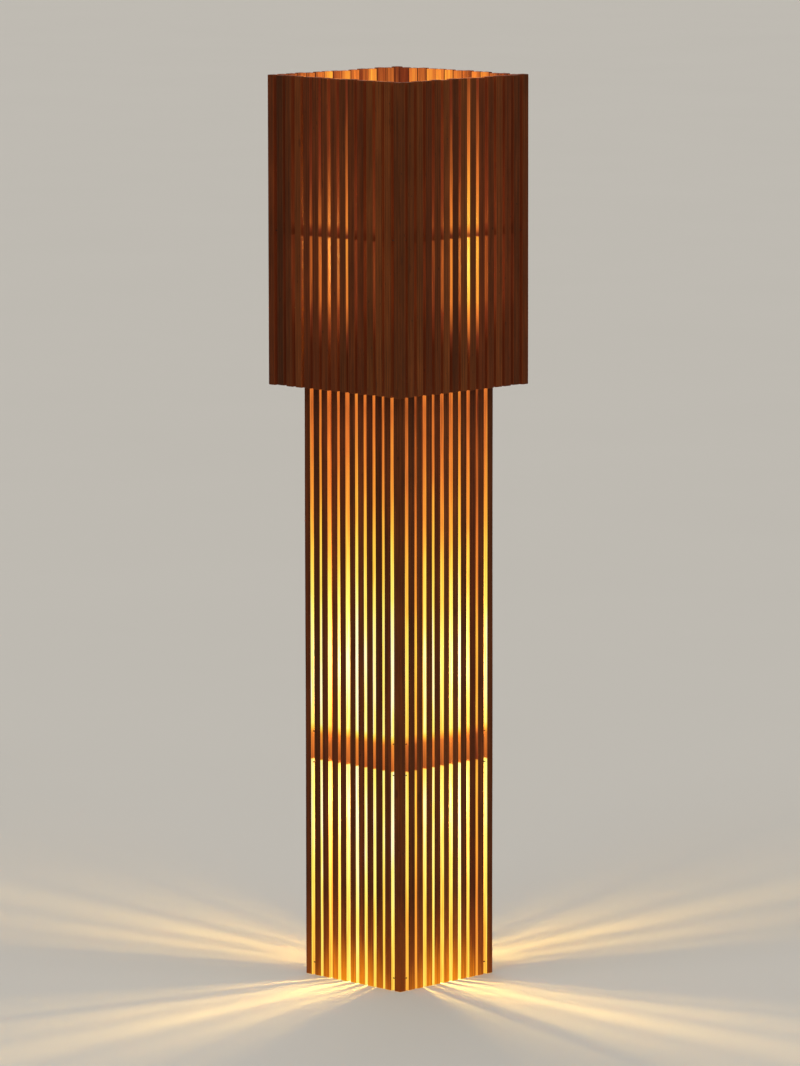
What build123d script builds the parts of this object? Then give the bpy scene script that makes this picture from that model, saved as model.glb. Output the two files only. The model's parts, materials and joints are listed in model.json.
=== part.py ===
from build123d import *

import os

# Andon floor lamp: a tall square column of timber sticks with gaps between them, a wider
# square shade of the same sticks round its upper part, and three lamps on its axis.
# Millimetres. The origin is the middle of the foot, on the floor, and +Z is up. The sides
# face X and Y, and the corner between +X and -Y is called the front one.

os.makedirs("parts", exist_ok=True)

# ---------------------------------------------------------------- driving dimensions
# Sticks
stick = 12.7  # side of the square section that posts, slats and cleats share
gap = 6.35  # open space between two sticks
column_count = 11  # sticks across one side of the column, its two posts included
shade_count = 15  # the same across one side of the shade
column_height = 1346.0
shade_height = 472.0
shade_proud = 40.0  # how far the shade stands above the column's top

# Rings of rails behind the slats
rail_thickness = 12.7
rail_height = 48.0
mid_rail_bottom = 332.0
upper_rail_rise = 45.0  # of the upper ring above the shade's lower edge
shade_rail_height = 12.7
shade_clearance = 0.8  # between the shade's ring and the column that it slides on
seat_gap = 0.2  # between the shade's ring and the cleats it stands on

# Corner blocks at the foot, and the cord's way in through the back one
block_leg = 38.0
block_height = 19.0
inlet_height = 9.0
inlet_radius = 3.6

# Crossbars that carry the lampholders
bar_width = 44.0
bar_thickness = 12.7

# Brads
brad_wide = 1.6
brad_thin = 1.2
brad_bite = 5.0  # how far a cross brad goes into the stick at each end
brad_depth = 4.5  # from a side's outer face to the cross brads
bar_brad_length = 32.0
cleat_brad_length = 23.0
clip_brad_length = 12.0

# Bulbs: a tubular lamp on a screw cap
bulb_cap_radius = 13.0
bulb_cap_length = 25.8
bulb_button_radius = 4.6
bulb_button_height = 2.0
bulb_neck_radius = 13.2
bulb_neck_length = 7.0
bulb_housing_radius = 19.0
bulb_housing_length = 12.0
bulb_tube_radius = 18.5
bulb_tube_length = 70.0

# Lampholders, along the lamp's axis from the crossbar
nested_gap = 0.15  # between the holder's nested parts
bulb_turn_gap = 0.3  # between the bulb's cap and the screw shell that it turns in
screw_wall = 0.45
screw_length = 28.0
insulator_wall = 1.5
insulator_start = 13.6
insulator_floor = 6.4  # thickness of the insulator under the screw shell
insulator_length = 36.4
shell_wall = 0.5
shell_start = 12.2
shell_length = 39.8
cap_wall = 0.8
cap_slope = 4.0  # of the shoulder, both across and down, and so deep is the floor
cap_length = 17.0
outlet_height = 9.6
outlet_size = 7.4  # of the square way in for a flex through the cap's side
contact_width = 6.0
contact_length = 15.0
contact_thickness = 0.8
contact_rise = 2.2
contact_gap = 0.2  # between the contact and the bulb's button
nipple_radius = 4.8
nipple_wall = 1.4
nipple_reach = 9.0  # beyond the bar, into the cap
nut_radius = 8.6  # to the corners
nut_thickness = 4.0
nut_spare = 2.0  # thread left showing past the nut
washer_radius = 9.5
washer_thickness = 1.2

# Wiring: flat twin flex
flex_width = 6.0
flex_thickness = 3.2
flex_gap = 0.25  # between the flex and the rails or clips beside it
flex_foot_run = 35.0  # from the face of the back block to where the flex turns up
flex_foot_bend = 14.0
flex_bend = 20.0
core_radius = 1.1
core_spacing = 2.8
core_reach = 2.0  # of the cores past the nipple's ends
terminal_length = 26.0
terminal_width = 16.0
terminal_height = 12.0
terminal_ease = 0.8
clip_height = 8.0
clip_wall = 1.6
clip_foot = 9.0
clip_slack = 2.2  # room for a flex that leans away from its rail

# ---------------------------------------------------------------- worked-out sizes
pitch = stick + gap
column_half = (column_count * stick + (column_count - 1) * gap) / 2
shade_half = (shade_count * stick + (shade_count - 1) * gap) / 2
column_gap_place = column_half - stick - gap / 2  # of the gap beside a post, from mid-side
shade_gap_place = shade_half - stick - gap / 2
rail_outer = column_half - stick
rail_inner = rail_outer - rail_thickness
shade_bottom = column_height + shade_proud - shade_height
mid_rail_top = mid_rail_bottom + rail_height
upper_rail_bottom = shade_bottom + upper_rail_rise
upper_rail_top = upper_rail_bottom + rail_height
shade_rail_outer = shade_half - stick
shade_rail_inner = column_half + shade_clearance
shade_rail_bottom = shade_bottom + (shade_height - shade_rail_height) / 2
cleat_length = 2 * stick + gap
cleat_bottom = shade_rail_bottom - seat_gap - stick
screw_inner = bulb_cap_radius + bulb_turn_gap
insulator_inner = screw_inner + screw_wall + nested_gap
shell_inner = insulator_inner + insulator_wall + nested_gap
cap_inner = shell_inner + shell_wall + nested_gap
cap_radius = cap_inner + cap_wall
insulator_seat = insulator_start + insulator_floor
bulb_tip = insulator_seat + contact_thickness + contact_rise + contact_gap
inlet_place = column_gap_place - pitch  # the second gap from the back post
flex_lane = rail_inner - flex_gap - flex_thickness / 2

SIDE_NAMES = ("front_left", "front_right", "back_right", "back_left")
CORNER_NAMES = ("front", "right", "back", "left")
quarter = 360 / len(SIDE_NAMES)
SIDES = {name: number * quarter for number, name in enumerate(SIDE_NAMES)}
CORNERS = {name: number * quarter for number, name in enumerate(CORNER_NAMES)}
# Each lamp stands on one face of a crossbar: the face's height, and up (1) or down (-1)
LAMPS = {
    "upper": (upper_rail_top, 1),
    "middle": (mid_rail_top, 1),
    "lower": (mid_rail_top - bar_thickness, -1),
}


def level(turn, height):
    """Horizontal plane at a height, turned so that its -Y faces out of one side."""
    return Plane.XY.offset(height).rotated((0, 0, turn))


def lamp_section(height, way):
    """Upright plane through the axis whose Y runs away from a crossbar face at this height."""
    return Plane(origin=(0, 0, height), x_dir=(1, 0, 0), z_dir=(0, -way, 0))


def keep(piece, name):
    """Label a finished piece and write it to its own file."""
    piece.part.label = name
    export_step(piece.part, f"parts/{name}.step")


# ---------------------------------------------------------------- timber
def make_post(name, turn, half, bottom, height):
    """Corner post: one stick on end."""
    with BuildPart() as post:
        with BuildSketch(level(turn, bottom)):
            with Locations((half - stick / 2, stick / 2 - half)):
                Rectangle(stick, stick)
        extrude(amount=height)
    keep(post, name)


def make_slats(name, turn, half, count, bottom, height):
    """The slats of one side, between its two posts."""
    with BuildPart() as slats:
        with BuildSketch(level(turn, bottom)):
            with Locations((0, stick / 2 - half)):
                with GridLocations(pitch, pitch, count - 2, 1):
                    Rectangle(stick, stick)
        extrude(amount=height)
    keep(slats, name)


def make_rail(name, turn, outer, inner, bottom, height):
    """One side of a square ring, mitred at both ends."""
    with BuildPart() as rail:
        with BuildSketch(level(turn, bottom)):
            with BuildLine():
                Polyline((-outer, -outer), (outer, -outer), (inner, -inner), (-inner, -inner), close=True)
            make_face()
        extrude(amount=height)
    keep(rail, name)


def make_block(name, turn):
    """Three-sided block glued into a corner of the foot; the back one has the cord's hole."""
    with BuildPart() as block:
        with BuildSketch(level(turn, 0)):
            with BuildLine():
                Polyline(
                    (rail_outer, -rail_outer),
                    (rail_outer, block_leg - rail_outer),
                    (rail_outer - block_leg, -rail_outer),
                    close=True,
                )
            make_face()
        extrude(amount=block_height)
        if name == "base_block_back":
            with BuildSketch(Plane(origin=(-inlet_place, rail_outer, inlet_height), z_dir=(0, -1, 0))):
                Circle(inlet_radius)
            extrude(amount=block_leg, mode=Mode.SUBTRACT)
    keep(block, name)


for side, turn in SIDES.items():
    make_slats(f"column_slats_{side}", turn, column_half, column_count, 0, column_height)
    make_slats(f"shade_slats_{side}", turn, shade_half, shade_count, shade_bottom, shade_height)
    make_rail(f"mid_rail_{side}", turn, rail_outer, rail_inner, mid_rail_bottom, rail_height)
    make_rail(f"upper_rail_{side}", turn, rail_outer, rail_inner, upper_rail_bottom, rail_height)
    make_rail(
        f"shade_rail_{side}",
        turn,
        shade_rail_outer,
        shade_rail_inner,
        shade_rail_bottom,
        shade_rail_height,
    )

for corner, turn in CORNERS.items():
    make_post(f"column_post_{corner}", turn, column_half, 0, column_height)
    make_post(f"shade_post_{corner}", turn, shade_half, shade_bottom, shade_height)
    make_block(f"base_block_{corner}", turn)

# Cleats: short sticks across each post and the slat beside it, for the shade to stand on
with BuildPart() as shade_cleats:
    for turn in SIDES.values():
        with BuildSketch(level(turn, cleat_bottom)):
            with Locations((0, -column_half - stick / 2)):
                with GridLocations(2 * column_half - cleat_length, 1, 2, 1):
                    Rectangle(cleat_length, stick)
    extrude(amount=stick)
keep(shade_cleats, "shade_cleats")

# Crossbars: a flat board across each inner ring, flush with its top, drilled for the nipple
with BuildPart() as upper_crossbar:
    with BuildSketch(Plane.XY.offset(upper_rail_top - bar_thickness)):
        Rectangle(2 * rail_inner, bar_width)
        Circle(nipple_radius + nested_gap, mode=Mode.SUBTRACT)
    extrude(amount=bar_thickness)
keep(upper_crossbar, "upper_crossbar")

with BuildPart() as mid_crossbar:
    with BuildSketch(Plane.XY.offset(mid_rail_top - bar_thickness)):
        Rectangle(2 * rail_inner, bar_width)
        Circle(nipple_radius + nested_gap, mode=Mode.SUBTRACT)
    extrude(amount=bar_thickness)
keep(mid_crossbar, "mid_crossbar")


# ---------------------------------------------------------------- brads
# Cross brads: two to a side at each height, each across the gap beside a post and into the
# stick either way. Cleat brads go through a cleat into the post and the slat behind it.
# Bar brads go through a rail into the end of a crossbar.
cross_levels = (block_height, mid_rail_bottom, mid_rail_top, upper_rail_bottom, upper_rail_top)
bar_levels = (mid_rail_top - bar_thickness / 2, upper_rail_top - bar_thickness / 2)
with BuildPart() as column_brads:
    for turn in SIDES.values():
        for height in cross_levels:
            with BuildSketch(level(turn, height - brad_wide / 2)):
                with Locations((0, brad_depth - column_half)):
                    with GridLocations(2 * column_gap_place, 1, 2, 1):
                        Rectangle(gap + 2 * brad_bite, brad_thin)
            extrude(amount=brad_wide)
        with BuildSketch(level(turn, cleat_bottom + stick / 2 - brad_wide / 2)):
            with Locations((0, cleat_brad_length / 2 - column_half - stick)):
                with GridLocations(2 * column_half - cleat_length, 1, 2, 1):
                    with GridLocations(pitch, 1, 2, 1):
                        Rectangle(brad_thin, cleat_brad_length)
        extrude(amount=brad_wide)
    for turn in (SIDES["front_right"], SIDES["back_left"]):
        for height in bar_levels:
            with BuildSketch(level(turn, height - brad_wide / 2)):
                with Locations((0, bar_brad_length / 2 - rail_outer)):
                    with GridLocations(pitch, 1, 2, 1):
                        Rectangle(brad_thin, bar_brad_length)
            extrude(amount=brad_wide)
keep(column_brads, "column_brads")

with BuildPart() as shade_brads:
    for turn in SIDES.values():
        with BuildSketch(level(turn, shade_rail_bottom + (shade_rail_height - brad_wide) / 2)):
            with Locations((0, brad_depth - shade_half)):
                with GridLocations(2 * shade_gap_place, 1, 2, 1):
                    Rectangle(gap + 2 * brad_bite, brad_thin)
        extrude(amount=brad_wide)
keep(shade_brads, "shade_brads")


# ---------------------------------------------------------------- lampholders
def make_turned(name, lamps, outline):
    """A solid of revolution for each lamp, from an outline drawn away from its crossbar."""
    with BuildPart() as pieces:
        for height, way in lamps:
            with BuildSketch(lamp_section(height, way)):
                with BuildLine():
                    Polyline(*outline, close=True)
                make_face()
            revolve(axis=Axis.Z)
    keep(pieces, name)


# Cap: a cup with a thick floor that holds the nipple, and a sloped shoulder. Two have a flex
# coming in through the side, the upper one from the corner where the flex comes up
nipple_hole = nipple_radius + nested_gap
cap_outline = (
    (nipple_hole, 0),
    (cap_radius - cap_slope, 0),
    (cap_radius, cap_slope),
    (cap_radius, cap_length),
    (cap_inner, cap_length),
    (cap_inner, cap_slope),
    (nipple_hole, cap_slope),
)
upper_outlet = upper_rail_top + outlet_height
middle_outlet = mid_rail_top + outlet_height
corner_way = Vector(-inlet_place, -flex_lane, 0).normalized()
outlets = ((upper_outlet, corner_way), (middle_outlet, Vector(-1, 0, 0)))
with BuildPart() as lampholder_caps:
    for height, way in LAMPS.values():
        with BuildSketch(lamp_section(height, way)):
            with BuildLine():
                Polyline(*cap_outline, close=True)
            make_face()
        revolve(axis=Axis.Z)
    for height, way in outlets:
        with BuildSketch(Plane(origin=(0, 0, height), x_dir=(0, 0, 1), z_dir=way)):
            Rectangle(outlet_size, outlet_size)
        extrude(amount=cap_radius, mode=Mode.SUBTRACT)
keep(lampholder_caps, "lampholder_caps")

# Outer shell: a thin sleeve that stands in the cap
shell_outline = (
    (shell_inner, shell_start),
    (shell_inner + shell_wall, shell_start),
    (shell_inner + shell_wall, shell_start + shell_length),
    (shell_inner, shell_start + shell_length),
)
make_turned("lampholder_shells", LAMPS.values(), shell_outline)

# Insulator: a moulded cup, thick in the floor, round the screw shell
insulator_outline = (
    (0, insulator_start),
    (insulator_inner + insulator_wall, insulator_start),
    (insulator_inner + insulator_wall, insulator_start + insulator_length),
    (insulator_inner, insulator_start + insulator_length),
    (insulator_inner, insulator_seat),
    (0, insulator_seat),
)
make_turned("lampholder_insulators", LAMPS.values(), insulator_outline)

# Screw shell: the sleeve that a bulb's cap turns in
screw_outline = (
    (screw_inner, insulator_seat),
    (screw_inner + screw_wall, insulator_seat),
    (screw_inner + screw_wall, insulator_seat + screw_length),
    (screw_inner, insulator_seat + screw_length),
)
make_turned("lampholder_screw_shells", LAMPS.values(), screw_outline)

# Contact springs: a strip bent up in the middle to meet the bulb's button
contact_bends = (
    (contact_length / 2, insulator_seat),
    (contact_length / 4, insulator_seat),
    (contact_length / 8, insulator_seat + contact_rise),
)
under_side = [(-across, up) for across, up in contact_bends] + list(reversed(contact_bends))
upper_side = [(across, up + contact_thickness) for across, up in reversed(under_side)]
with BuildPart() as lampholder_contacts:
    for height, way in LAMPS.values():
        with BuildSketch(lamp_section(height, way)):
            with BuildLine():
                Polyline(*under_side, *upper_side, close=True)
            make_face()
        extrude(amount=contact_width / 2, both=True)
keep(lampholder_contacts, "lampholder_contacts")

# Fixings: threaded nipples through the crossbars, with a cap on each end that has a lamp; the
# upper one is held from below by a nut on a washer
mid_bar_bottom = mid_rail_top - bar_thickness
washer_bottom = upper_rail_top - bar_thickness - washer_thickness
nut_bottom = washer_bottom - nut_thickness
nipple_ends = (
    (mid_bar_bottom - nipple_reach, mid_rail_top + nipple_reach),
    (nut_bottom - nut_spare, upper_rail_top + nipple_reach),
)
with BuildPart() as lamp_fixings:
    for bottom_end, top_end in nipple_ends:
        with BuildSketch(Plane.XY.offset(bottom_end)):
            Circle(nipple_radius)
            Circle(nipple_radius - nipple_wall, mode=Mode.SUBTRACT)
        extrude(amount=top_end - bottom_end)
    with BuildSketch(Plane.XY.offset(washer_bottom)):
        Circle(washer_radius)
        Circle(nipple_hole, mode=Mode.SUBTRACT)
    extrude(amount=washer_thickness)
    with BuildSketch(Plane.XY.offset(nut_bottom)):
        RegularPolygon(nut_radius, 6)
        Circle(nipple_hole, mode=Mode.SUBTRACT)
    extrude(amount=nut_thickness)
keep(lamp_fixings, "lamp_fixings")


# ---------------------------------------------------------------- bulbs
bulb_cap_start = bulb_tip + bulb_button_height
bulb_cap_end = bulb_tip + bulb_cap_length
bulb_neck_end = bulb_cap_end + bulb_neck_length
bulb_housing_end = bulb_neck_end + bulb_housing_length
bulb_tube_end = bulb_housing_end + bulb_tube_length

# Screw sleeve with a contact button
bulb_cap_outline = (
    (0, bulb_tip),
    (bulb_button_radius, bulb_tip),
    (bulb_button_radius, bulb_cap_start),
    (bulb_cap_radius, bulb_cap_start),
    (bulb_cap_radius, bulb_cap_end),
    (0, bulb_cap_end),
)
# Housing that steps out from a neck
bulb_housing_outline = (
    (0, bulb_cap_end),
    (bulb_neck_radius, bulb_cap_end),
    (bulb_neck_radius, bulb_neck_end),
    (bulb_housing_radius, bulb_neck_end),
    (bulb_housing_radius, bulb_housing_end),
    (0, bulb_housing_end),
)
# Opal tube, closed and flat at its end
bulb_tube_outline = (
    (0, bulb_housing_end),
    (bulb_tube_radius, bulb_housing_end),
    (bulb_tube_radius, bulb_tube_end),
    (0, bulb_tube_end),
)
for name, lamp in LAMPS.items():
    make_turned(f"bulb_cap_{name}", [lamp], bulb_cap_outline)
    make_turned(f"bulb_housing_{name}", [lamp], bulb_housing_outline)
    make_turned(f"bulb_tube_{name}", [lamp], bulb_tube_outline)


# ---------------------------------------------------------------- wiring
# One flex comes in at the foot and runs up one side's rails to the terminals, one goes on
# from them up the opposite side to the upper lamp, and a short one serves the middle lamp,
# from which two cores go down through the hollow nipple to the lower one
terminal_middle = mid_rail_top + terminal_height / 2
cap_reach = cap_inner - flex_gap  # from the axis to where a flex ends, just inside a cap
supply = (
    (-inlet_place, rail_outer, inlet_height),
    (-inlet_place, rail_outer - flex_foot_run, inlet_height),
    (-inlet_place, flex_lane, terminal_middle),
    (-inlet_place, terminal_length / 2, terminal_middle),
)
onward = (
    (-inlet_place, -terminal_length / 2, terminal_middle),
    (-inlet_place, -flex_lane, terminal_middle),
    (-inlet_place, -flex_lane, upper_outlet),
    (cap_reach * corner_way.X, cap_reach * corner_way.Y, upper_outlet),
)
lead_start = Plane(origin=(-cap_reach, 0, middle_outlet), x_dir=(0, 1, 0), z_dir=(-1, 0, 0))
core_start = mid_bar_bottom - nipple_reach - core_reach
core_end = mid_rail_top + nipple_reach + core_reach
with BuildPart() as flex:
    for points, bends in ((supply, (flex_foot_bend, flex_bend)), (onward, (flex_bend, flex_bend))):
        with BuildLine() as route:
            FilletPolyline(*points, radius=bends)
        with BuildSketch(Plane(route.line @ 0, x_dir=(1, 0, 0), z_dir=route.line % 0)):
            Rectangle(flex_width, flex_thickness)
        sweep()
    with BuildSketch(lead_start):
        Rectangle(flex_width, flex_thickness)
    extrude(amount=inlet_place - terminal_width / 2 - cap_reach)
    with BuildSketch(Plane.XY.offset(core_start)):
        with GridLocations(core_spacing, 1, 2, 1):
            Circle(core_radius)
    extrude(amount=core_end - core_start)
keep(flex, "flex")

with BuildPart() as terminal_block:
    with BuildSketch(Plane.XY.offset(mid_rail_top)):
        with Locations((-inlet_place, 0)):
            Rectangle(terminal_width, terminal_length)
    extrude(amount=terminal_height)
    chamfer(terminal_block.faces().sort_by(Axis.Z)[-1].edges(), terminal_ease)
keep(terminal_block, "terminal_block")

# Clips: a channel over the flex, with a foot bradded to the rail beside it
clip_places = (
    (SIDES["back_right"], 1, mid_rail_bottom + rail_height / 2),
    (SIDES["front_left"], -1, mid_rail_bottom + rail_height / 2),
    (SIDES["front_left"], -1, upper_rail_bottom + rail_height / 2),
)
channel_half = flex_width / 2 + flex_gap
channel_depth = flex_gap + flex_thickness + clip_slack
foot_start = channel_half + clip_wall
foot_end = foot_start + clip_foot
clip_outline = (
    (-channel_half, 0),
    (-channel_half, channel_depth),
    (channel_half, channel_depth),
    (channel_half, 0),
    (foot_end, 0),
    (foot_end, clip_wall),
    (foot_start, clip_wall),
    (foot_start, channel_depth + clip_wall),
    (-foot_start, channel_depth + clip_wall),
    (-foot_start, 0),
)
with BuildPart() as cable_clips:
    for turn, way, middle in clip_places:
        with BuildSketch(level(turn, middle - clip_height / 2)):
            with BuildLine():
                corners = [(way * (inlet_place - across), out - rail_inner) for across, out in clip_outline]
                Polyline(*corners, close=True)
            make_face()
        extrude(amount=clip_height)
keep(cable_clips, "cable_clips")

with BuildPart() as clip_brads:
    for turn, way, middle in clip_places:
        place = inlet_place - (foot_start + foot_end) / 2
        with BuildSketch(level(turn, middle - brad_wide / 2)):
            with Locations((way * place, clip_wall - rail_inner - clip_brad_length / 2)):
                Rectangle(brad_thin, clip_brad_length)
        extrude(amount=brad_wide)
keep(clip_brads, "clip_brads")
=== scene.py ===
"""Looks of the andon floor lamp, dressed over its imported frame. Metres, with the frame's own axes."""
import json
import math
import random
from collections import namedtuple

import bmesh
import bpy
from mathutils import Matrix, Vector


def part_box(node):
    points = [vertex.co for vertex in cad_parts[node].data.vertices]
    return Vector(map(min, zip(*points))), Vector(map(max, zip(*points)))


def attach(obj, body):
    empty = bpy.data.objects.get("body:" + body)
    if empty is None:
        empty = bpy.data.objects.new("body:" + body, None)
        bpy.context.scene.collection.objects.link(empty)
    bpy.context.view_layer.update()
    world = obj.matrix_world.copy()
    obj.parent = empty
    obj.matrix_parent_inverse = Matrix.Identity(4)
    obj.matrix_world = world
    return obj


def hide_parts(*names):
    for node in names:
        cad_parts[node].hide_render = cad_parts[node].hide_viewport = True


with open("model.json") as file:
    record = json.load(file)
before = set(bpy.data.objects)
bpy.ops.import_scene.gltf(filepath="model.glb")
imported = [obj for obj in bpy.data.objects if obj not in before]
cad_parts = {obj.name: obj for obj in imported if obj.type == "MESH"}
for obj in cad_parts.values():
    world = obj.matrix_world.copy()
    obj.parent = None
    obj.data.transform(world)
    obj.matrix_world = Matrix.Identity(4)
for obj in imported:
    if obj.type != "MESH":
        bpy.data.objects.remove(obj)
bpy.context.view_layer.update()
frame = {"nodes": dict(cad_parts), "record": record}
nodes = frame["nodes"]
bodies = frame["record"]["behaviour"]["bodies"]
body_of = {node: body for body, members in bodies.items() for node in members}
MM = 0.001
SIDES = ("front_left", "front_right", "back_right", "back_left")
CORNERS = ("front", "right", "back", "left")

# ---------------------------------------------------------------- sizes of the timber
# Sticks, as the frame has them
post_low, post_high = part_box("column_post_front")
stick = post_high.x - post_low.x
gap = stick / 2
pitch = stick + gap
column_half = post_high.x
column_inner = column_half - stick  # from the axis to the inner faces of the column's sticks
shade_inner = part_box("shade_post_front")[0].x  # and of the shade's

# What sawing and fitting by hand leaves, in each stick
ease = 0.5 * MM  # radius along a stick's edges
bow = 0.45 * MM
waver = 0.2 * MM  # of a sawn face, in and out
waver_turn = 11  # radians of the waver to a metre
setback = 0.7 * MM  # of a slat's outer face, behind the straightest one
end_spread = 1.6 * MM  # of the slats' upper ends; half of it at posts and at lower ends
side_play = 0.8 * MM  # of a gap, wider or narrower, where no width is given
station = 45 * MM  # between the rings of points that carry the bow

# Gaps of the front sides in mm, from left to right as they are seen
GAP_WIDTHS = {
    "column_slats_front_left": (6.4, 4.4, 7.2, 4.8, 7.2, 5.6, 6.1, 5.0, 4.2, 6.6),
    "column_slats_front_right": (5.8, 4.7, 7.2, 4.3, 7.1, 6.8, 5.9, 5.4, 3.8, 6.9),
    "shade_slats_front_left": (5.0, 5.2, 6.2, 5.4, 5.2, 4.6, 5.2, 5.0, 4.6, 5.4, 5.6, 5.8, 5.2, 5.0),
    "shade_slats_front_right": (5.0, 5.8, 5.2, 5.6, 5.6, 5.2, 5.0, 5.2, 4.9, 5.4, 5.2, 5.0, 5.4, 5.6),
}
# Slats that stand out by their tone, counted from 0: 0 is the darkest wood and 1 the palest
TONES = {
    "shade_slats_front_left": {0: 0.0, 9: 0.35},
    "shade_slats_front_right": {2: 0.2, 4: 1.0, 10: 0.9},
    "column_slats_front_left": {7: 0.05},
}
# How strongly the painted lamplight shows on the sides of each slat. Few of the shade's are
# reached, past the column's slats; the column's differ from slat to slat.
shade_left_lit = (0.04, 0.07, 0.075, 0.17, 0.21, 0.25, 0.16, 0.37, 0.12, 0.06, 0.12, 0.04, 0.03)
shade_right_lit = (0.03, 0.05, 0.06, 0.14, 0.17, 0.33, 0.17, 0.6, 0.43, 0.15, 0.09, 0.07, 0.05)
column_left_lit = (0.94, 0.79, 0.85, 0.89, 1.07, 0.96, 0.95, 0.88, 1.07)
column_right_lit = (0.73, 0.56, 0.91, 0.93, 0.77, 0.85, 1.0, 0.77, 0.46)
LIT = {
    "shade_slats_front_left": shade_left_lit,
    "shade_slats_front_right": shade_right_lit,
    "shade_slats_back_right": shade_left_lit,
    "shade_slats_back_left": shade_right_lit,
    "column_slats_front_left": column_left_lit,
    "column_slats_front_right": column_right_lit,
    "column_slats_back_right": column_left_lit,
    "column_slats_back_left": column_right_lit,
}
shade_post_lit = 0.03
cleat_lit = 0.1
post_tones = (0.25, 0.75)  # between which the tones of the posts lie

# ---------------------------------------------------------------- sizes of the lamps
# The height of the crossbar face that each lamp stands on, and whether it points up or down
LAMPS = {
    "upper": (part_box("upper_crossbar")[1].z, 1),
    "middle": (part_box("mid_crossbar")[1].z, 1),
    "lower": (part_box("mid_crossbar")[0].z, -1),
}
lamp_heights = {lamp: sum(end.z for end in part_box(f"bulb_tube_{lamp}")) / 2 for lamp in LAMPS}
lamp_warmth = (1.0, 0.66, 0.16)
lamp_strength = 760
turns = 56  # flats round a turned piece

# Bulbs and lampholders, in mm like all profiles of turned pieces
thread_radius = 12.5
thread_pitch = 3.6
thread_depth = 0.9
thread_stations = 44  # stretches between the points along a thread
neck_radius = 13.2
flare_growth = 5.7  # of the neck's radius, up to the tube
flare_stations = 10
rib_count = 28
rib_depth = 0.7
tube_radius = 18.4
tube_shoulder = 8.0
tube_stations = 5
shell_radius = 16.05
bead_radius = 0.6
bead_heights = (22.0, 40.0)  # of the two beads below the lip at a shell's mouth

# ---------------------------------------------------------------- sizes of the view
# Camera, at the photograph's place
camera_distance = 9.4
camera_height = 1.98826
camera_azimuth = 44.5303
camera_yaw = -0.011194
camera_pitch = 7.89261
camera_roll = 0.0802
camera_lens = 209.76

# Studio: each sun's azimuth, elevation, strength and softness, and the floor's radius
SUNS = {"key": (0, 42, 0.9, 40), "fill": (95, 30, 0.7, 50), "back": (235, 50, 0.5, 40)}
sun_distance = 6
sun_colour = (1.0, 0.975, 0.94)
sky_light = 0.42
sky_seen = 0.6
floor_radius = 120


# ---------------------------------------------------------------- shader sums
class Number:
    """A number that a shader works out. Sums of such numbers are written as plain sums."""

    def __init__(self, tree, socket):
        self.tree = tree
        self.socket = socket

    def __add__(self, other):
        return calc(self.tree, "ADD", self, other)

    def __sub__(self, other):
        return calc(self.tree, "SUBTRACT", self, other)

    def __rsub__(self, other):
        return calc(self.tree, "SUBTRACT", other, self)

    def __mul__(self, other):
        return calc(self.tree, "MULTIPLY", self, other)

    def __truediv__(self, other):
        return calc(self.tree, "DIVIDE", self, other)

    def __rtruediv__(self, other):
        return calc(self.tree, "DIVIDE", other, self)

    def __pow__(self, other):
        return calc(self.tree, "POWER", self, other)

    def __abs__(self):
        return calc(self.tree, "ABSOLUTE", self)

    def fraction(self):
        """What is left past the whole number."""
        return calc(self.tree, "FRACT", self)

    def spread(self, low, high, to_low=0.0, to_high=1.0):
        """The number carried from one range to another, and held at its ends."""
        inputs = {"Value": self, "From Min": low, "From Max": high, "To Min": to_low, "To Max": to_high}
        return number(self.tree, "MapRange", inputs=inputs)


def feed(tree, node, inputs):
    """Set a node's inputs, or wire them, by name or number."""
    for key, value in inputs.items():
        if isinstance(value, Number):
            value = value.socket
        if isinstance(value, bpy.types.NodeSocket):
            tree.links.new(value, node.inputs[key])
        else:
            node.inputs[key].default_value = value


def add(tree, kind, inputs=None, **settings):
    """A node with its settings and its inputs."""
    node = tree.nodes.new("ShaderNode" + kind)
    for key, value in settings.items():
        setattr(node, key, value)
    feed(tree, node, inputs or {})
    return node


def number(tree, kind, output=0, inputs=None, **settings):
    """One output of a new node, as a number."""
    return Number(tree, add(tree, kind, inputs, **settings).outputs[output])


def calc(tree, operation, *values):
    """What a sum of numbers comes to."""
    return number(tree, "Math", inputs=dict(enumerate(values)), operation=operation)


def largest(first, *others):
    """The largest of some numbers."""
    for other in others:
        first = calc(first.tree, "MAXIMUM", first, other)
    return first


def smallest(first, *others):
    """The smallest of some numbers."""
    for other in others:
        first = calc(first.tree, "MINIMUM", first, other)
    return first


def split(tree, place):
    """The three numbers of a place."""
    return [Number(tree, output) for output in add(tree, "SeparateXYZ", {0: place}).outputs]


def mix(tree, factor, first, second, way="MIX"):
    """Two colours mixed, or one multiplied by the other."""
    node = add(tree, "Mix", {0: factor, 6: first, 7: second}, data_type="RGBA", blend_type=way)
    return node.outputs[2]


def mix_numbers(tree, factor, first, second):
    """Two numbers mixed."""
    return number(tree, "Mix", inputs={0: factor, 2: first, 3: second}, data_type="FLOAT")


def stretch(tree, place, sizes):
    """A place scaled along each axis."""
    return add(tree, "Mapping", {"Vector": place, "Scale": sizes}).outputs[0]


def noise(tree, place, scale, detail=3.0, roughness=0.5):
    """Cloudy noise from 0 to 1."""
    inputs = {"Vector": place, "Scale": scale, "Detail": detail, "Roughness": roughness}
    return number(tree, "TexNoise", inputs=inputs)


def relief(tree, height, distance, strength=1.0):
    """What a shader's normal becomes over a relief."""
    return add(tree, "Bump", {"Height": height, "Distance": distance, "Strength": strength}).outputs[0]


def colour(red, green, blue):
    """A colour from 0 to 255 as a screen shows it, in the linear numbers that a shader takes."""
    shown = [part / 255 for part in (red, green, blue)]
    linear = [((part + 0.055) / 1.055) ** 2.4 if part > 0.04 else part / 12.92 for part in shown]
    return (*linear, 1.0)


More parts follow.
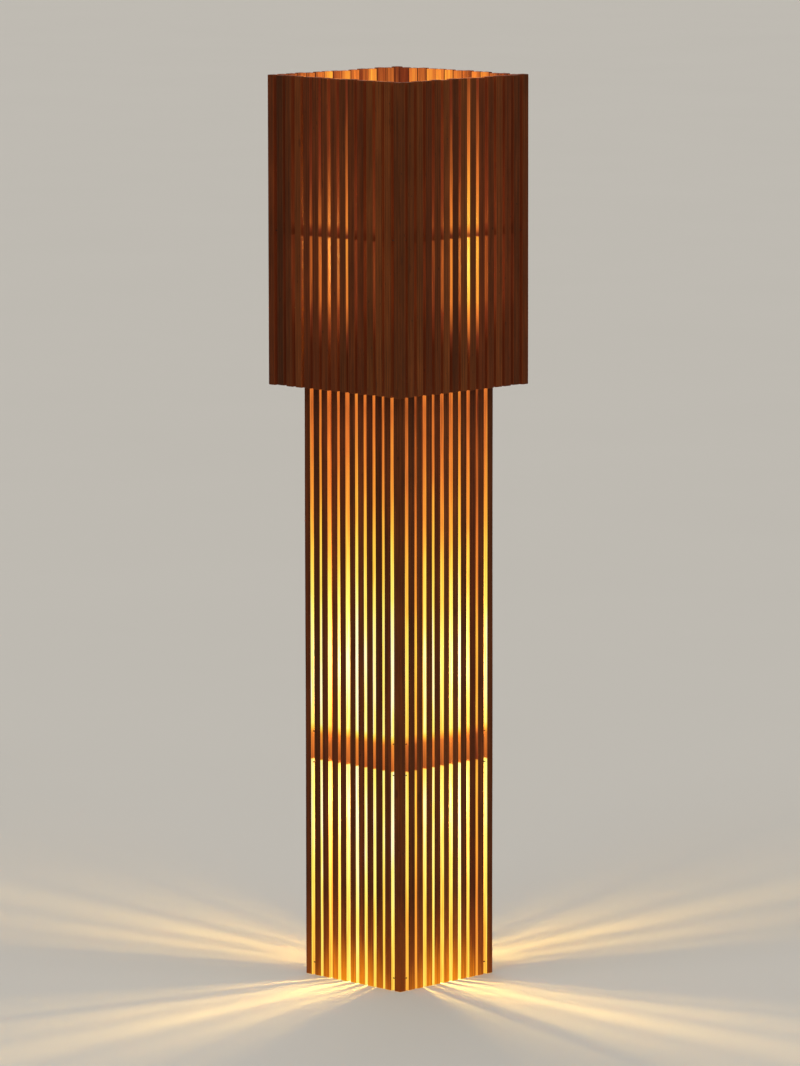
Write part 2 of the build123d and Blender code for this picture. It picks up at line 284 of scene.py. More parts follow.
def new_finish(name):
    """A material with its node tree and its shader."""
    material = bpy.data.materials.new(name)
    material.use_nodes = True
    return material, material.node_tree, material.node_tree.nodes["Principled BSDF"]


# ---------------------------------------------------------------- painted light on the timber
# The finish paints the lamps' light into the wood as a glow, worked out from a point's place
# and facing. A lamp's light falls to half at its reach, up and down from it. That reach is one
# length in the gaps and another on the faces that look inward.
Lamp = namedtuple("Lamp", "height gap_reach face_reach strength")
# Rings are the two ends of each one's shadow, inner_face is how far from the axis the sticks
# start, sets_in the heights between which the light sets in, least what there is of it
# anywhere, and foot the height up to which the floor throws some back.
Glow = namedtuple("Glow", "lamps rings inner_face sets_in least foot")

# How squarely a face looks at the axis: 1 is straight at it and -1 straight outward
looks_in = (0.97, 0.99)
looks_out = (-0.93, -0.97)
open_depth = (5.8 * MM, 4.8 * MM)  # from the inner faces; nearer, a gap's sides lie open
shadow_edge = 1 * MM  # half the width of the sharp lower edge of a ring's shadow
shadow_blur = 8 * MM  # and of the soft upper one
shadow_depth = (0.56, 0.76)  # at the top and at the bottom
open_share = 0.62  # the least part of the light that open sides get
face_share = 0.74  # and that inner faces get

# What part of the light there is: two values of something, and the part at each of them
own_share = (0.0, 1.0, 0.45, 1.3)  # by a number of the stick's own
beside_share = (-0.45, 0.3, 0.92, 1.0)  # by how squarely a side looks in
far_loss = (0.7, 0.95, 0.0, 0.2)  # what sides lose that look almost straight in
corner_share = (0.5, 0.95, 1.0, 0.5)  # by how near the corner a point is, from 0 mid-side to 1
grain_share = (0.3, 0.7, 0.76, 1.14)
foot_corner_share = (0.35, 0.95, 0.27, 0.1)  # the same for what the floor throws back
foot_grain_share = (0.3, 0.7, 0.75, 1.2)
foot_fall = 1.5  # power by which the floor's light falls off with height
light_shuffle = 23.7  # turns a stick's tone into a number that doesn't follow it

# A level of light, and the colour that it gives the timber
GLOW_COLOURS = (
    (0.0, (0, 0, 0)),
    (0.1, (103, 43, 23)),
    (0.24, (218, 118, 48)),
    (0.38, (246, 162, 57)),
    (0.54, (255, 212, 76)),
    (0.72, (255, 247, 118)),
    (1.0, (255, 254, 218)),
)
outer_tint = (0.95, 1.0, 0.12, 1.0)  # of the glow on outer faces


def ring_shadow(rail, lift):
    """The heights between which a ring keeps the lamps off the slats, a little above its own:
    the lamp below it also lights what stands just over the ring's lower edge."""
    low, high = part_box(rail)
    return low.z + lift, high.z + lift


def lamp_level(glow, height, within):
    """How much of the lamps' light reaches a height, where the strongest lamp is what counts."""
    levels = []
    for lamp in glow.lamps:
        reach = within.spread(0.0, 1.0, lamp.gap_reach, lamp.face_reach)
        away = (height - lamp.height) / reach
        levels.append(lamp.strength / (away * away + 1.0))
    level = largest(*levels) * height.spread(*glow.sets_in)
    for low, high in glow.rings:
        over = height.spread(low - shadow_edge, low + shadow_edge)
        under = height.spread(high + shadow_blur, high - shadow_blur)
        depth = under * height.spread(high, low, *shadow_depth)
        level = level * (1.0 - over * depth)
    return level


def glow_colours(tree, level):
    """A level of light as a colour, from black through dull red to almost white."""
    ramp = add(tree, "ValToRGB", {"Fac": level})
    elements = ramp.color_ramp.elements
    for order, (position, tint) in enumerate(GLOW_COLOURS):
        element = elements[order] if order < 2 else elements.new(position)
        element.position = position
        element.color = colour(*tint)
    return ramp.outputs[0]


def lamplight(tree, glow, share, grain, tone):
    """Painted lamplight on timber that faces the lamps or lines a gap: strongest level with each
    lamp, painted shadow behind the rings, and nothing on the outer faces but painted light that
    the floor throws back at the foot. The share is a stick's own, in its gaps."""
    coordinates = add(tree, "TexCoord").outputs
    x, y, height = split(tree, coordinates["Object"])
    facing = {0: coordinates["Object"], 1: coordinates["Normal"]}
    facing_x, facing_y, _ = split(tree, add(tree, "VectorMath", facing, operation="MULTIPLY").outputs[0])
    wall = largest(abs(x), abs(y))
    inward = (facing_x + facing_y) / (wall * -1.0)
    inner = inward.spread(*looks_in)
    outer = inward.spread(*looks_out)
    open_side = (wall - glow.inner_face).spread(*open_depth)
    within = largest(inner, open_side)
    corner = smallest(abs(x), abs(y)) / wall

    # Sides that look away from the lamps get a little less, and so do those that nearly face
    # them, at the corners
    beside = inward.spread(*beside_share) - inward.spread(*far_loss) * (1.0 - inner)
    level = lamp_level(glow, height, within) * beside
    level = level * largest(share, open_side * open_share, inner * face_share)

    # Each stick takes up the light in its own way, and the corners get less of it
    own = (tone * light_shuffle).fraction().spread(*own_share) * corner.spread(*corner_share)
    level = level * mix_numbers(tree, within, 1.0, own) * grain.spread(*grain_share)
    level = largest(level, glow.least) * (1.0 - outer)
    if glow.foot:
        thrown = height.spread(glow.foot, 0.0) ** foot_fall
        level = level + thrown * corner.spread(*foot_corner_share) * grain.spread(*foot_grain_share)
    light = glow_colours(tree, level)
    return mix(tree, outer, light, mix(tree, 1.0, light, outer_tint, "MULTIPLY"))


# ---------------------------------------------------------------- timber
# Noise that is drawn out along the grain: by how much, its fineness, detail and roughness
WOOD_NOISE = {
    "fibres": (0.018, 1500.0, 3.0, 0.65),
    "streaks": (0.03, 420.0, 2.0, 0.6),
    "clouds": (0.25, 38.0, 3.0, 0.55),
    "specks": (0.35, 330.0, 1.0, 0.4),
}
# What darkens and pales the wood: two values of each mark, and what the colour is multiplied
# by at each
WOOD_SHADES = {
    "growth": (0.0, 1.0, 0.78, 1.1),
    "drift": (0.3, 0.7, 0.86, 1.14),
    "streaks": (0.3, 0.72, 0.72, 1.24),
    "fibres": (0.3, 0.7, 0.86, 1.12),
    "clouds": (0.3, 0.7, 0.8, 1.15),
}
STAINED = {
    "dark": colour(68, 30, 9),
    "middle": colour(91, 43, 14),
    "pale": colour(112, 58, 22),
    "red": colour(99, 38, 12),
}
BARE = {
    "dark": colour(92, 56, 30),
    "middle": colour(140, 92, 54),
    "pale": colour(164, 114, 72),
    "red": colour(142, 82, 48),
}
resin = colour(30, 14, 8)

# Two values of a mark, and how much it shows at each of them
red_share = (0.0, 1.0, 0.0, 0.55)
knot_share = (0.085, 0.13, 0.72, 0.0)
speck_share = (0.73, 0.79, 0.0, 0.75)
end_share = (0.9995, 0.9999, 0.0, 0.5)
saw_share = (0.35, 0.65, 0.0, 0.35)
rubbed_share = 0.35  # the most that a rubbed edge pales
red_shuffle = 7.31  # turns a stick's tone into a number that doesn't follow it

# How the grain is turned to lie along an axis
GRAIN_TURNS = {"X": (0, math.pi / 2, 0), "Y": (math.pi / 2, 0, 0)}


def wood_marks(tree, place):
    """Growth rings, fibres, streaks, clouds, drift, specks, knots and saw marks, as numbers."""
    marks = {}
    for mark, (along, scale, detail, roughness) in WOOD_NOISE.items():
        marks[mark] = noise(tree, stretch(tree, place, (1, 1, along)), scale, detail, roughness)
    marks["drift"] = noise(tree, stretch(tree, place, (0.3, 0.3, 1)), 7.0, 2.0, 0.5)
    rings = {
        "Vector": stretch(tree, place, (1, 1, 0.035)),
        "Scale": 75.0,
        "Distortion": 2.6,
        "Detail": 2.0,
        "Detail Scale": 0.35,
    }
    marks["growth"] = number(tree, "TexWave", "Fac", rings, wave_type="RINGS", rings_direction="Z")
    cells = {"Vector": stretch(tree, place, (1, 1, 0.4)), "Scale": 26.0, "Randomness": 1.0}
    knots = number(tree, "TexVoronoi", "Distance", cells)
    marks["knot"] = (knots + marks["streaks"] * 0.06).spread(*knot_share)
    saw = {"Vector": place, "Scale": 150.0, "Distortion": 1.2, "Detail": 1.0, "Detail Scale": 0.6}
    marks["saw"] = number(tree, "TexWave", "Fac", saw, wave_type="BANDS", bands_direction="Z")
    return marks


def wood_colour(tree, tones, tone, marks):
    """A stick's own tone, with the marks that run through it."""
    darker = mix(tree, tone.spread(0.0, 0.5), tones["dark"], tones["middle"])
    ground = mix(tree, tone.spread(0.5, 1.0), darker, tones["pale"])
    redness = (tone * red_shuffle).fraction().spread(*red_share)
    ground = mix(tree, redness, ground, tones["red"])
    for mark, shades in WOOD_SHADES.items():
        ground = mix(tree, 1.0, ground, marks[mark].spread(*shades), "MULTIPLY")
    ground = mix(tree, marks["knot"], ground, tones["dark"])
    return mix(tree, marks["specks"].spread(*speck_share), ground, resin)


def worn(tree, ground, tones, marks):
    """Edges rubbed a little paler, and ends that drank more stain."""
    section = add(tree, "Attribute", attribute_name="section").outputs["Vector"]
    place = add(tree, "VectorMath", {0: section}, operation="ABSOLUTE").outputs[0]
    across, through, along = split(tree, place)
    rubbed = smallest(across, through).spread(0.86, 0.98) * marks["clouds"].spread(0.42, 0.62)
    ground = mix(tree, rubbed * rubbed_share, ground, tones["pale"])
    return mix(tree, along.spread(*end_share), ground, tones["dark"])


def wood(name, tones, along=None, glow=None):
    """Sawn timber. Its marks follow the grain of each stick, or one axis of a node that is kept
    from the frame. A glow lights it up."""
    material, tree, shader = new_finish(name)
    if along is None:
        place = add(tree, "Attribute", attribute_name="grain").outputs["Vector"]
        tone = number(tree, "Attribute", "Fac", attribute_name="tone")
    else:
        flat = {"Vector": add(tree, "TexCoord").outputs["Object"], "Rotation": GRAIN_TURNS[along]}
        place = add(tree, "Mapping", flat).outputs[0]
        tone = number(tree, "ObjectInfo", "Random")
    marks = wood_marks(tree, place)
    ground = wood_colour(tree, tones, tone, marks)
    if along is None:
        ground = worn(tree, ground, tones, marks)

    # Saw marks lie across the stick, under the fibres' own relief
    saw = marks["saw"] * marks["clouds"].spread(*saw_share)
    height = marks["fibres"] + marks["growth"] * 0.3 + saw - marks["knot"] * 0.4
    inputs = {
        "Base Color": ground,
        "Roughness": marks["fibres"].spread(0.3, 0.7, 0.72, 0.52),
        "Specular IOR Level": 0.15,
        "Specular Tint": colour(255, 214, 170),
        "Normal": relief(tree, height, 0.25 * MM, 0.8),
    }
    if glow:
        share = number(tree, "Attribute", "Fac", attribute_name="lit")
        inputs["Emission Color"] = lamplight(tree, glow, share, marks["streaks"], tone)
        inputs["Emission Strength"] = 1.0
        material.cycles.emission_sampling = "NONE"
    feed(tree, shader, inputs)
    return material


column_glow = Glow(
    lamps=[
        Lamp(lamp_heights["lower"], 0.24, 0.22, 0.98),
        Lamp(lamp_heights["middle"], 0.235, 0.22, 1.0),
        Lamp(lamp_heights["upper"], 0.14, 0.14, 0.9),
    ],
    rings=[ring_shadow(f"{ring}_rail_front_left", 5.5 * MM) for ring in ("mid", "upper")],
    inner_face=column_inner,
    sets_in=(-1.0, 0.0),
    least=0.0,
    foot=0.15,
)
shade_glow = Glow(
    lamps=[Lamp(lamp_heights["upper"], 0.16, 0.24, 0.95)],
    rings=[ring_shadow("shade_rail_front_left", 2.5 * MM)],
    inner_face=shade_inner,
    sets_in=(0.955, 1.05),
    least=0.026,
    foot=0.0,
)
column_wood = wood("stained_column_sticks", STAINED, glow=column_glow)
shade_wood = wood("stained_shade_sticks", STAINED, glow=shade_glow)
timber_along = {way: wood(f"plain_timber_{way}", BARE, along=way) for way in "XY"}


# ---------------------------------------------------------------- other finishes
def metal(name, tint, shade, roughness, brushed=(1, 1, 1)):
    """Metal with a brushed or rolled surface that has dulled in patches."""
    material, tree, shader = new_finish(name)
    place = add(tree, "TexCoord").outputs["Object"]
    lines = noise(tree, stretch(tree, place, brushed), 900.0, 2.0)
    patches = noise(tree, place, 90.0, 4.0, 0.6)
    inputs = {
        "Base Color": mix(tree, patches.spread(0.4, 0.75), tint, shade),
        "Metallic": 1.0,
        "Roughness": (lines + patches).spread(0.7, 1.4, roughness - 0.08, roughness + 0.14),
        "Normal": relief(tree, lines, 0.04 * MM, 0.6),
    }
    feed(tree, shader, inputs)
    return material


def moulded(name, tint, shade, roughness, grain=1400.0):
    """Moulded plastic or ceramic with a fine sparked surface and a little dust in patches."""
    material, tree, shader = new_finish(name)
    place = add(tree, "TexCoord").outputs["Object"]
    sparked = noise(tree, place, grain, 2.0)
    dust = noise(tree, place, 60.0, 4.0, 0.6)
    inputs = {
        "Base Color": mix(tree, dust.spread(0.42, 0.72), tint, shade),
        "Roughness": dust.spread(0.3, 0.7, roughness - 0.06, roughness + 0.12),
        "Normal": relief(tree, sparked, 0.05 * MM, 0.5),
    }
    feed(tree, shader, inputs)
    return material


def opal(name):
    """Lit opal glass: whiter along the middle of the tube, warmer towards its two ends."""
    material, tree, shader = new_finish(name)
    run = number(tree, "Attribute", "Fac", attribute_name="run")
    place = add(tree, "TexCoord").outputs["Object"]
    cloud = noise(tree, place, 45.0, 3.0)
    middle = run.spread(0.0, 0.3) * run.spread(1.0, 0.75)
    ends = [part * share for part, share in zip(lamp_warmth, (0.8, 0.68, 0.55))]
    warm = mix(tree, middle, (*ends, 1.0), (*lamp_warmth, 1.0))
    inputs = {
        "Emission Color": mix(tree, 1.0, warm, cloud.spread(0.3, 0.7, 0.94, 1.05), "MULTIPLY"),
        "Emission Strength": lamp_strength,
        "Base Color": mix(tree, cloud, colour(240, 236, 226), colour(228, 222, 208)),
        "Roughness": 0.32,
    }
    feed(tree, shader, inputs)
    return material


# The brads' steel is darkened as painted shade, for the shade they lie in deep in the gaps.
brad_steel = metal("brad_steel", colour(96, 84, 72), colour(62, 46, 36), 0.46)
fixing_steel = metal("fixing_steel", colour(186, 184, 178), colour(134, 128, 118), 0.34)
brass = metal("lampholder_brass", colour(196, 156, 88), colour(140, 102, 52), 0.3, (1, 1, 12))
cap_metal = metal("bulb_cap_metal", colour(204, 202, 198), colour(150, 146, 140), 0.28)
insulator = moulded("insulator", colour(226, 221, 208), colour(202, 195, 178), 0.34)
cap_glass = moulded("bulb_cap_glass", colour(214, 208, 194), colour(188, 180, 162), 0.18, 500.0)
housing_white = moulded("bulb_housing", colour(232, 229, 220), colour(206, 200, 188), 0.42)
bulb_opal = opal("bulb_opal")
terminal_plastic = moulded("terminal_plastic", colour(222, 216, 200), colour(190, 182, 162), 0.45)
flex_sheath = moulded("flex_sheath", colour(58, 40, 30), colour(80, 62, 50), 0.5)
clip_plastic = moulded("clip_plastic", colour(214, 208, 194), colour(180, 172, 154), 0.5)


# ---------------------------------------------------------------- pieces
def piece(name, shape, material, body, stands_for=()):
    """A finished mesh that rides on a body, in the place of the nodes that it stands for."""
    mesh = bpy.data.meshes.new(name)
    bmesh.ops.recalc_face_normals(shape, faces=shape.faces)
    shape.to_mesh(mesh)
    shape.free()
    mesh.polygons.foreach_set("use_smooth", [True] * len(mesh.polygons))
    mesh.materials.append(material)
    obj = bpy.data.objects.new(name, mesh)
    bpy.context.scene.collection.objects.link(obj)
    obj.modifiers.new("even_shading", "WEIGHTED_NORMAL").weight = 90
    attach(obj, body)
    if stands_for:
        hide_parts(*stands_for)


def join_rings(shape, below, above):
    """A band of faces between two rings of points."""
    for step in range(len(below)):
        following = (step + 1) % len(below)
        shape.faces.new((below[step], below[following], above[following], above[step]))


def stick_mesh():
    """An empty mesh, with the layers that the wood finish reads at each point."""
    shape = bmesh.new()
    layers = {
        "grain": shape.verts.layers.float_vector.new("grain"),
        "section": shape.verts.layers.float_vector.new("section"),
        "tone": shape.verts.layers.float.new("tone"),
        "lit": shape.verts.layers.float.new("lit"),
    }
    return shape, layers


def section_points(reach):
    """The outline of a stick's section about its middle, with three points round each edge."""
    for corner, (side, face) in enumerate(((1, 1), (-1, 1), (-1, -1), (1, -1))):
        for part in range(3):
            angle = math.radians(corner * 90 + part * 45)
            across = side * (reach[0] - ease) + ease * math.cos(angle)
            through = face * (reach[1] - ease) + ease * math.sin(angle)
            yield across, through


def add_stick(shape, layers, low, high, limits, chance, tone, lit=1.0, along=2):
    """One sawn stick from corner to corner. It bows and wavers a little, inside its limits, and
    has a tone and a stretch of grain of its own."""
    wide, deep = (axis for axis in range(3) if axis != along)
    middle = (low + high) / 2
    half = (high - low) / 2
    length = high[along] - low[along]
    count = max(2, round(length / station))
    between = [length * step / count for step in range(1, count)]
    bows = [chance.uniform(-bow, bow) for _ in range(2)]
    phases = [chance.uniform(0, math.tau) for _ in range(2)]
    start = Vector([chance.uniform(-0.09, 0.09), chance.uniform(-0.09, 0.09), chance.uniform(0, 9)])
    rings = []
    for distance in (0.0, ease, *between, length - ease, length):
        share = distance / length
        inset = ease if distance in (0.0, length) else 0.0
        bend = math.sin(math.pi * share)
        lost = [waver * (1 - math.sin(phase + distance * waver_turn)) / 2 for phase in phases]
        centre = [middle[axis] + most * bend for axis, most in zip((wide, deep), bows)]
        reach = [half[axis] - inset - less for axis, less in zip((wide, deep), lost)]
        ring = []
        for across, through in section_points(reach):
            point = Vector((0, 0, 0))
            point[wide] = min(max(centre[0] + across, limits[0][wide]), limits[1][wide])
            point[deep] = min(max(centre[1] + through, limits[0][deep]), limits[1][deep])
            point[along] = low[along] + distance
            vertex = shape.verts.new(point)
            vertex[layers["grain"]] = start + Vector((across, through, distance))
            vertex[layers["section"]] = (across / half[wide], through / half[deep], 2 * share - 1)
            vertex[layers["tone"]] = tone
            vertex[layers["lit"]] = lit
            ring.append(vertex)
        rings.append(ring)
    for below, above in zip(rings, rings[1:]):
        join_rings(shape, below, above)
    shape.faces.new(rings[0])
    shape.faces.new(rings[-1])


def dress_post(node):
    """A corner post, sawn like the slats beside it."""
    chance = random.Random(node)
    shape, layers = stick_mesh()
    low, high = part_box(node)
    finish, lit = column_wood, 1.0
    if node.startswith("shade"):
        high.z -= chance.uniform(0, end_spread / 2)
        finish, lit = shade_wood, shade_post_lit
    add_stick(shape, layers, low, high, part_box(node), chance, chance.uniform(*post_tones), lit)
    piece(f"sawn_{node}", shape, finish, body_of[node], [node])


def dress_slats(node):
    """One side's slats, each a little out of place as hands left it."""
    chance = random.Random(node)
    shape, layers = stick_mesh()
    low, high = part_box(node)
    row = 0 if high.x - low.x > high.y - low.y else 1  # the axis that the slats are lined up on
    face = 1 - row
    outward = 1 if low[face] + high[face] > 0 else -1
    count = round((high[row] - low[row] + gap) / pitch)
    widths = GAP_WIDTHS.get(node)
    if widths is None:
        widths = [gap / MM + chance.uniform(-side_play, side_play) / MM for _ in range(count + 1)]

    # No slat goes past its outer face or its ends, and its other sides have room
    limits = (low - Vector((stick, stick, 0)), high + Vector((stick, stick, 0)))
    limits[1 if outward > 0 else 0][face] = (high if outward > 0 else low)[face]
    for order in range(count):
        start, end = low.copy(), high.copy()
        place = low[row] + order * pitch
        start[row] = place + (widths[order] * MM - gap) / 2
        end[row] = place + stick - (widths[order + 1] * MM - gap) / 2
        back = chance.uniform(0, setback)
        start[face] -= outward * back
        end[face] -= outward * back
        if node.startswith("shade"):
            start.z += chance.uniform(0, end_spread / 2)
        end.z -= chance.uniform(0, end_spread)
        tone = TONES.get(node, {}).get(order, chance.betavariate(2.6, 2.6))
        add_stick(shape, layers, start, end, limits, chance, tone, LIT[node][order])
    finish = shade_wood if node.startswith("shade") else column_wood
    piece(f"sawn_{node}", shape, finish, body_of[node], [node])


def dress_cleats():
    """The short sticks that the shade stands on, two to a side."""
    chance = random.Random("cleats")
    shape, layers = stick_mesh()
    low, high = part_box("shade_cleats")
    length = 2 * stick + gap
    for axis in range(2):
        face = 1 - axis
        for side in (-1, 1):
            for end in (-1, 1):
                start, stop = low.copy(), high.copy()
                start[axis] = -column_half if end < 0 else column_half - length
                stop[axis] = start[axis] + length
                start[face] = column_half if side > 0 else -column_half - stick
                stop[face] = start[face] + stick
                limits = (start, stop)
                add_stick(shape, layers, start, stop, limits, chance, chance.random(), cleat_lit, axis)
    piece("sawn_cleats", shape, shade_wood, "column", ["shade_cleats"])


for corner in CORNERS:
    dress_post(f"column_post_{corner}")
    dress_post(f"shade_post_{corner}")
for side in SIDES:
    dress_slats(f"column_slats_{side}")
    dress_slats(f"shade_slats_{side}")
dress_cleats()


# ---------------------------------------------------------------- turned pieces
def turned_radius(radius, distance, angle, thread, ribs):
    """A profile's radius, or what a thread or ribs make of it between their two ends."""
    if thread and thread[0] <= distance <= thread[1]:
        fade = min(1, (distance - thread[0]) / thread_pitch, (thread[1] - distance) / thread_pitch)
        radius += thread_depth / 2 * fade * math.cos(math.tau * distance / thread_pitch - angle)
    if ribs and ribs[0] <= distance <= ribs[1]:
        radius -= rib_depth * max(0, math.cos(rib_count * angle)) ** 2
    return radius


def add_turned(shape, run, lamp, profile, thread=None, ribs=None):
    """A profile of (radius, distance from the crossbar) in mm, turned round a lamp's axis."""
    base, way = LAMPS[lamp]
    rings = []
    for order, (radius, distance) in enumerate(profile):
        ring = []
        for step in range(turns):
            angle = math.tau * step / turns
            reach = turned_radius(radius, distance, angle, thread, ribs) * MM
            spot = (reach * math.cos(angle), reach * math.sin(angle), base + way * distance * MM)
            vertex = shape.verts.new(spot)
            vertex[run] = order / (len(profile) - 1)
            ring.append(vertex)
        rings.append(ring)
    for below, above in zip(rings, rings[1:]):
        join_rings(shape, below, above)
    return rings


def turned_piece(name, lamps, profile, material, body, slot_name, stands_for=(), closed=True, **form):
    """The same turned form on one or more lamps, closed at both ends or joined into a tube."""
    shape = bmesh.new()
    run = shape.verts.layers.float.new("run")
    for lamp in lamps:
        rings = add_turned(shape, run, lamp, profile, **form)
        if closed:
            shape.faces.new(rings[0])
            shape.faces.new(rings[-1])
        else:
            join_rings(shape, rings[-1], rings[0])
    piece(name, shape, material, body, stands_for)


def lamp_reach(node, lamp):
    """How far along its lamp's axis a node starts and ends, in mm."""
    base, way = LAMPS[lamp]
    low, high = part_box(node)
    return sorted(way * (height - base) / MM for height in (low.z, high.z))


def arc(centre, radius, start, end, steps=6):
    """Points round an arc of a profile; a radius may be a pair for an ellipse."""
    wide, tall = radius if isinstance(radius, tuple) else (radius, radius)
    angles = [math.radians(start + (end - start) * step / steps) for step in range(steps + 1)]
    return [(centre[0] + wide * math.cos(angle), centre[1] + tall * math.sin(angle)) for angle in angles]


def dress_cap(lamp):
    """A bulb's screw cap: a rolled thread between a plain skirt and a soldered button on glass."""
    body = f"bulb_{lamp}"
    node = f"bulb_cap_{lamp}"
    start, end = lamp_reach(node, lamp)
    first, last = start + 4.4, end - 3.0
    cap = [(10.8, start + 3.2), (11.9, start + 3.7)]
    for step in range(thread_stations + 1):
        cap.append((thread_radius, first + (last - first) * step / thread_stations))
    cap += [(12.9, end - 2.4), (12.95, end - 0.4), (12.6, end)]
    slot_name = "bulb_cap_metal"
    turned_piece(f"{body}_screw_cap", [lamp], cap, cap_metal, body, slot_name, [node], thread=(first, last))
    button = [(0.4, start), (2.6, start + 0.1), *arc((3.4, start + 1.2), (1.1, 1.0), -80, 10, 4)]
    button += [(4.5, start + 2.2)]
    turned_piece(f"{body}_button", [lamp], button, fixing_steel, body, slot_name)
    glass = [(4.5, start + 1.5), (6.8, start + 1.9), (9.6, start + 2.7), (11.0, start + 3.3)]
    turned_piece(f"{body}_cap_glass", [lamp], glass, cap_glass, body, "insulator")


def dress_housing(lamp):
    """A bulb's housing: a neck that flares to the tube, with cooling ribs on the flare."""
    body = f"bulb_{lamp}"
    node = f"bulb_housing_{lamp}"
    start, end = lamp_reach(node, lamp)
    housing = [(12.8, start), (neck_radius, start + 0.5)]
    for step in range(flare_stations + 1):
        share = (1 - math.cos(math.pi * step / flare_stations)) / 2
        housing.append((neck_radius + flare_growth * share, start + 5.5 + 0.9 * step))
    housing += [(19.0, start + 15.4), (19.0, end - 1.0), (18.7, end - 0.2), (17.9, end)]
    ribs = (start + 6.5, start + 14.5)
    turned_piece(f"{body}_flare", [lamp], housing, housing_white, body, "bulb_housing", [node], ribs=ribs)


def dress_tube(lamp):
    """A bulb's opal tube, its end drawn in to a shallow dome."""
    body = f"bulb_{lamp}"
    node = f"bulb_tube_{lamp}"
    start, end = lamp_reach(node, lamp)
    dome_centre = (tube_radius - tube_shoulder, end - tube_shoulder - 1.6)
    tube = [(17.9, start), (18.3, start + 0.8), (tube_radius, start + 2)]
    tube += [(tube_radius, start + 2 + 10 * step) for step in range(1, tube_stations + 1)]
    tube += [*arc(dome_centre, tube_shoulder, 0, 78, 7), (6.5, end - 0.5), (2.5, end)]
    turned_piece(f"{body}_opal_tube", [lamp], tube, bulb_opal, body, "bulb_opal", [node])


def dress_lampholders():
    """Two rolled beads round each lampholder's shell, and a rolled lip at its mouth."""
    lip = lamp_reach("lampholder_shells", "upper")[1] - bead_radius
    for order, distance in enumerate((*bead_heights, lip)):
        bead = arc((shell_radius - 0.3, distance), bead_radius, -90, 90)
        bead.append((shell_radius - 0.4, distance))
        name = f"lampholder_beads_{order}"
        turned_piece(name, LAMPS, bead, brass, "column", "lampholder_brass", closed=False)


for lamp in LAMPS:
    dress_cap(lamp)
    dress_housing(lamp)
    dress_tube(lamp)
dress_lampholders()


# ---------------------------------------------------------------- kept nodes
def keep_node(node, material, easing):
    """A node of the frame, shown with its edges eased and its own finish."""
    obj = nodes[node]
    obj.data.materials.clear()
    obj.data.materials.append(material)
    bevel = obj.modifiers.new("eased_edges", "BEVEL")
    bevel.width = easing
    bevel.segments = 2
    bevel.limit_method = "ANGLE"
    bevel.angle_limit = math.radians(50)
    bevel.harden_normals = True


for side, way in zip(SIDES, "XYXY"):
    for ring in ("mid", "upper"):
        keep_node(f"{ring}_rail_{side}", timber_along[way], 0.6 * MM)
    keep_node(f"shade_rail_{side}", timber_along[way], 0.5 * MM)
for corner in CORNERS:
    keep_node(f"base_block_{corner}", timber_along["X"], 0.5 * MM)
for ring in ("mid", "upper"):
    keep_node(f"{ring}_crossbar", timber_along["X"], 0.6 * MM)
for node in ("column_brads", "shade_brads", "clip_brads"):
    keep_node(node, brad_steel, 0.2 * MM)
keep_node("lamp_fixings", fixing_steel, 0.2 * MM)
keep_node("lampholder_caps", brass, 0.2 * MM)
keep_node("lampholder_shells", brass, 0.1 * MM)
keep_node("lampholder_screw_shells", cap_metal, 0.1 * MM)
keep_node("lampholder_contacts", brass, 0.1 * MM)
keep_node("lampholder_insulators", insulator, 0.2 * MM)
keep_node("terminal_block", terminal_plastic, 0.3 * MM)
keep_node("cable_clips", clip_plastic, 0.2 * MM)
keep_node("flex", flex_sheath, 1.2 * MM)


# ---------------------------------------------------------------- stage
def make_floor():
    """Plain pale floor that reaches past every view, with a faint mottle."""
    material, tree, shader = new_finish("studio_floor")
    mottle = noise(tree, add(tree, "TexCoord").outputs["Object"], 1.3, 4.0)
    inputs = {
        "Base Color": mix(tree, mottle, colour(204, 201, 195), colour(207, 204, 198)),
        "Roughness": 0.85,
        "Specular IOR Level": 0.2,
    }
    feed(tree, shader, inputs)
    shape = bmesh.new()
    bmesh.ops.create_circle(shape, cap_ends=True, radius=floor_radius, segments=96)
    mesh = bpy.data.meshes.new("studio_floor")
    shape.to_mesh(mesh)
    shape.free()
    mesh.materials.append(material)
    floor = bpy.data.objects.new("studio_floor", mesh)
    bpy.context.scene.collection.objects.link(floor)


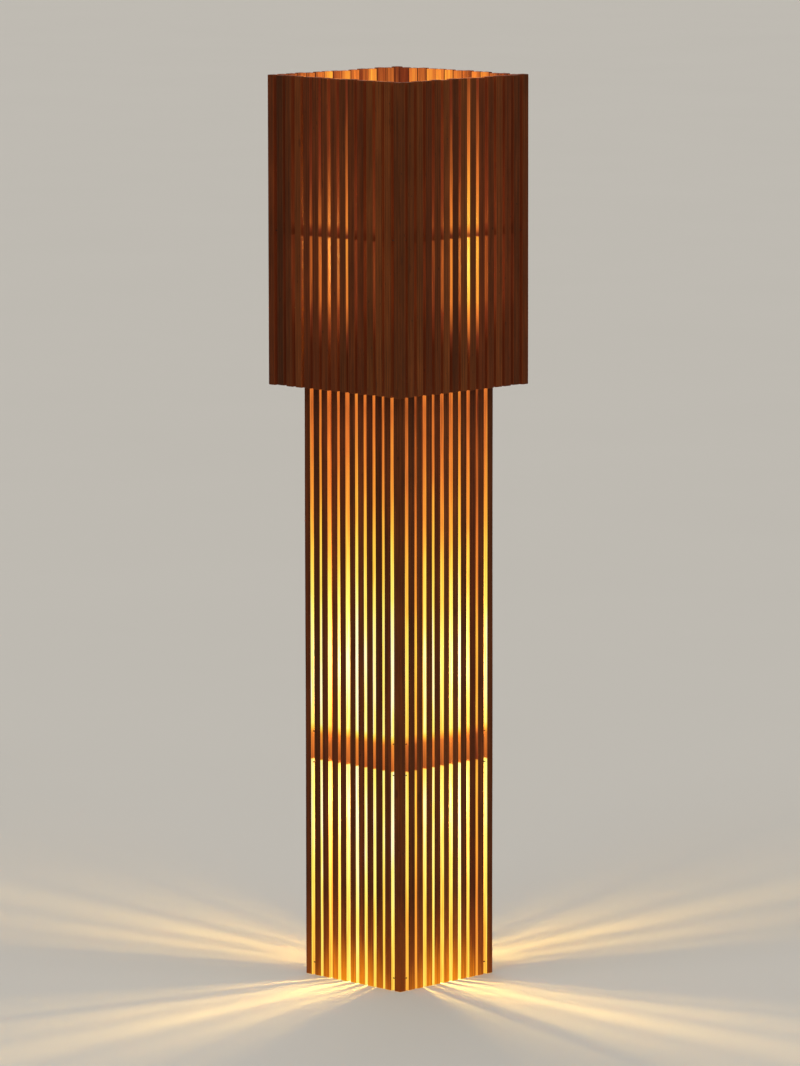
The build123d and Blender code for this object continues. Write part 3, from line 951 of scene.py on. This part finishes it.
def make_sky():
    """Even pale light from all round, which is seen in the tone of the floor's far edge."""
    world = bpy.data.worlds.new("studio")
    world.use_nodes = True
    tree = world.node_tree
    path = add(tree, "LightPath").outputs
    rays = ("Is Camera Ray", "Is Glossy Ray", "Is Transmission Ray")
    seen = largest(*(Number(tree, path[ray]) for ray in rays))
    inputs = {
        "Color": mix(tree, seen, colour(250, 248, 244), colour(241, 235, 225)),
        "Strength": seen.spread(0.0, 1.0, sky_light, sky_seen),
    }
    feed(tree, tree.nodes["Background"], inputs)
    bpy.context.scene.world = world


def direction(azimuth, elevation):
    """Which way a place seen from the lamp lies, from angles in degrees."""
    around, up = math.radians(azimuth), math.radians(elevation)
    return Vector((math.sin(around) * math.cos(up), -math.cos(around) * math.cos(up), math.sin(up)))


def make_sun(name, azimuth, elevation, strength, softness):
    """A wide soft lamp that lights every part of the floor alike."""
    data = bpy.data.lights.new(name, "SUN")
    data.energy = strength
    data.angle = math.radians(softness)
    data.color = sun_colour
    sun = bpy.data.objects.new(name, data)
    toward = direction(azimuth, elevation)
    sun.rotation_mode = "QUATERNION"
    sun.rotation_quaternion = toward.to_track_quat("Z", "Y")
    sun.location = toward * sun_distance
    bpy.context.scene.collection.objects.link(sun)


def make_camera():
    """The photograph's view, turned and rolled a little as the camera there was."""
    data = bpy.data.cameras.new("camera")
    data.lens = camera_lens
    data.sensor_width = 36
    data.clip_end = 400
    camera = bpy.data.objects.new("camera", data)
    forward = -direction(camera_azimuth + camera_yaw, camera_pitch)
    roll = Matrix.Rotation(math.radians(camera_roll), 3, forward).to_quaternion()
    camera.rotation_mode = "QUATERNION"
    camera.rotation_quaternion = roll @ forward.to_track_quat("-Z", "Y")
    around = math.radians(camera_azimuth)
    across, away = math.sin(around), -math.cos(around)
    camera.location = (camera_distance * across, camera_distance * away, camera_height)
    bpy.context.scene.collection.objects.link(camera)
    bpy.context.scene.camera = camera


make_floor()
make_sky()
for name, light in SUNS.items():
    make_sun(name, *light)
make_camera()
bpy.context.scene.view_settings.view_transform = "Standard"
